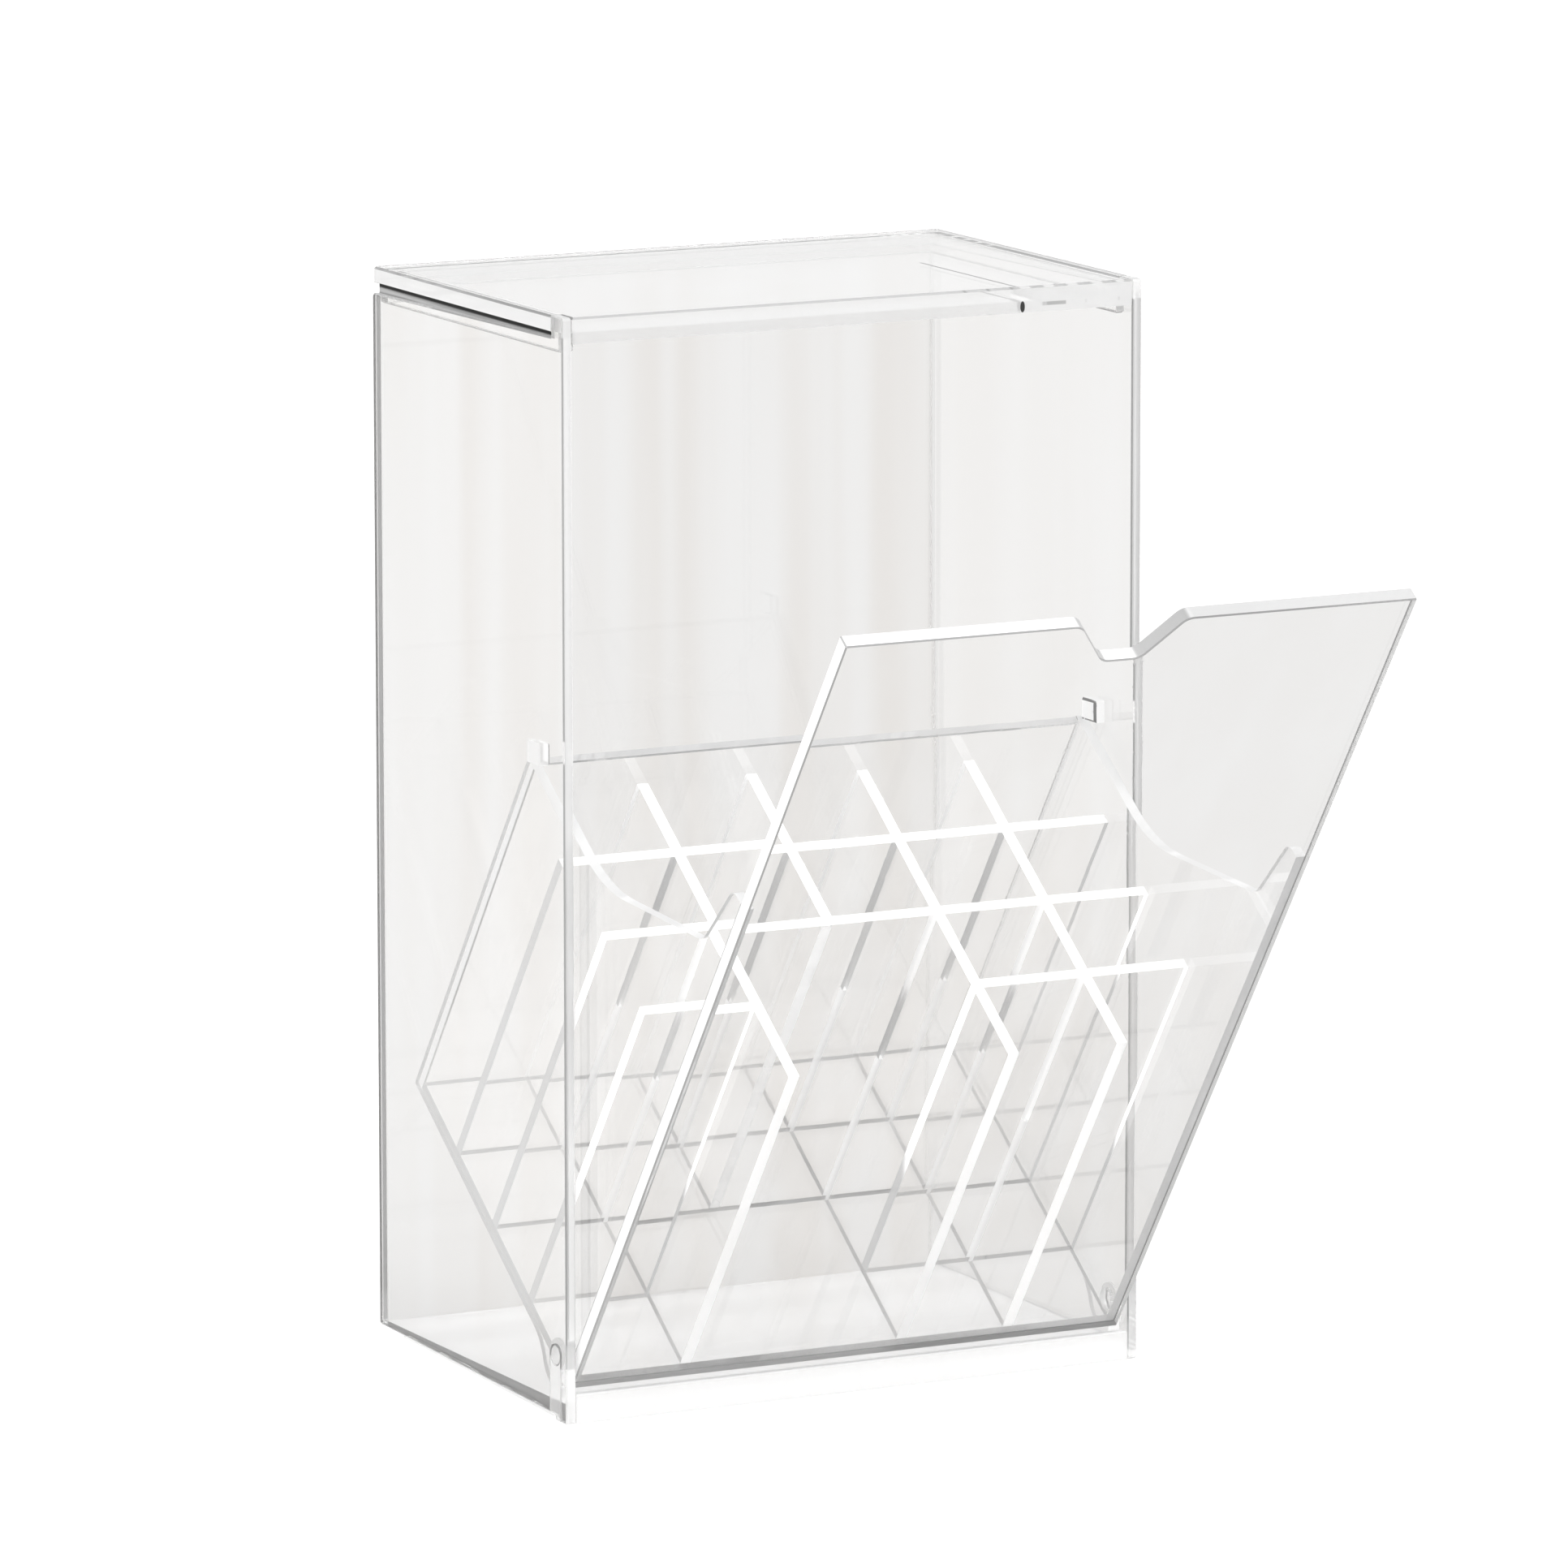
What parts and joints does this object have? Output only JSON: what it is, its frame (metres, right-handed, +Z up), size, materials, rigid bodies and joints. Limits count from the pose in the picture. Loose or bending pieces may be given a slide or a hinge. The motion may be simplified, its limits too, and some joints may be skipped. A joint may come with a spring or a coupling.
{
  "type": "tilt-out brush holder",
  "caption": "Clear free-standing case whose whole front tilts out as a drawer, divided into upright cells for brushes and bottles, with a thumb notch in the front panel.",
  "frame": {"origin": "middle of the case's footprint, on the surface it stands on", "axes": "+Z up, +X to the right as seen from the front, -Y towards the front that the drawer tilts out of"},
  "size_m": [0.1426, 0.2249, 0.245],
  "materials": {
    "case_sheet": "clear polished acrylic sheet",
    "case_moulding": "clear moulded plastic, polished",
    "drawer_sheet": "clear polished acrylic sheet",
    "divider_sheet": "clear acrylic sheet with sawn, lightly polished edges"
  },
  "bodies": {
    "case": {"case_left_wall": "case_sheet", "case_right_wall": "case_sheet", "case_back_wall": "case_sheet", "top_cap": "case_moulding", "base": "case_moulding", "front_rail": "case_sheet", "left_stop": "case_moulding", "right_stop": "case_moulding"},
    "drawer": {"drawer_front": "drawer_sheet", "drawer_left_side": "drawer_sheet", "drawer_right_side": "drawer_sheet", "drawer_back": "drawer_sheet", "drawer_floor": "drawer_sheet", "left_pivot_stud": "case_moulding", "right_pivot_stud": "case_moulding", "row_divider_1_left": "divider_sheet", "row_divider_1_right": "divider_sheet", "row_divider_2": "divider_sheet", "row_divider_3": "divider_sheet", "column_divider_1": "divider_sheet", "column_divider_2": "divider_sheet", "column_divider_3": "divider_sheet", "column_divider_4": "divider_sheet"}
  },
  "joints": [
    {"name": "drawer_tilt", "type": "hinge", "parent": "case", "child": "drawer", "pos_m": [0, -0.042, 0.0144], "axis": [1, 0, 0], "range_deg": [-35.5, 0]}
  ]
}
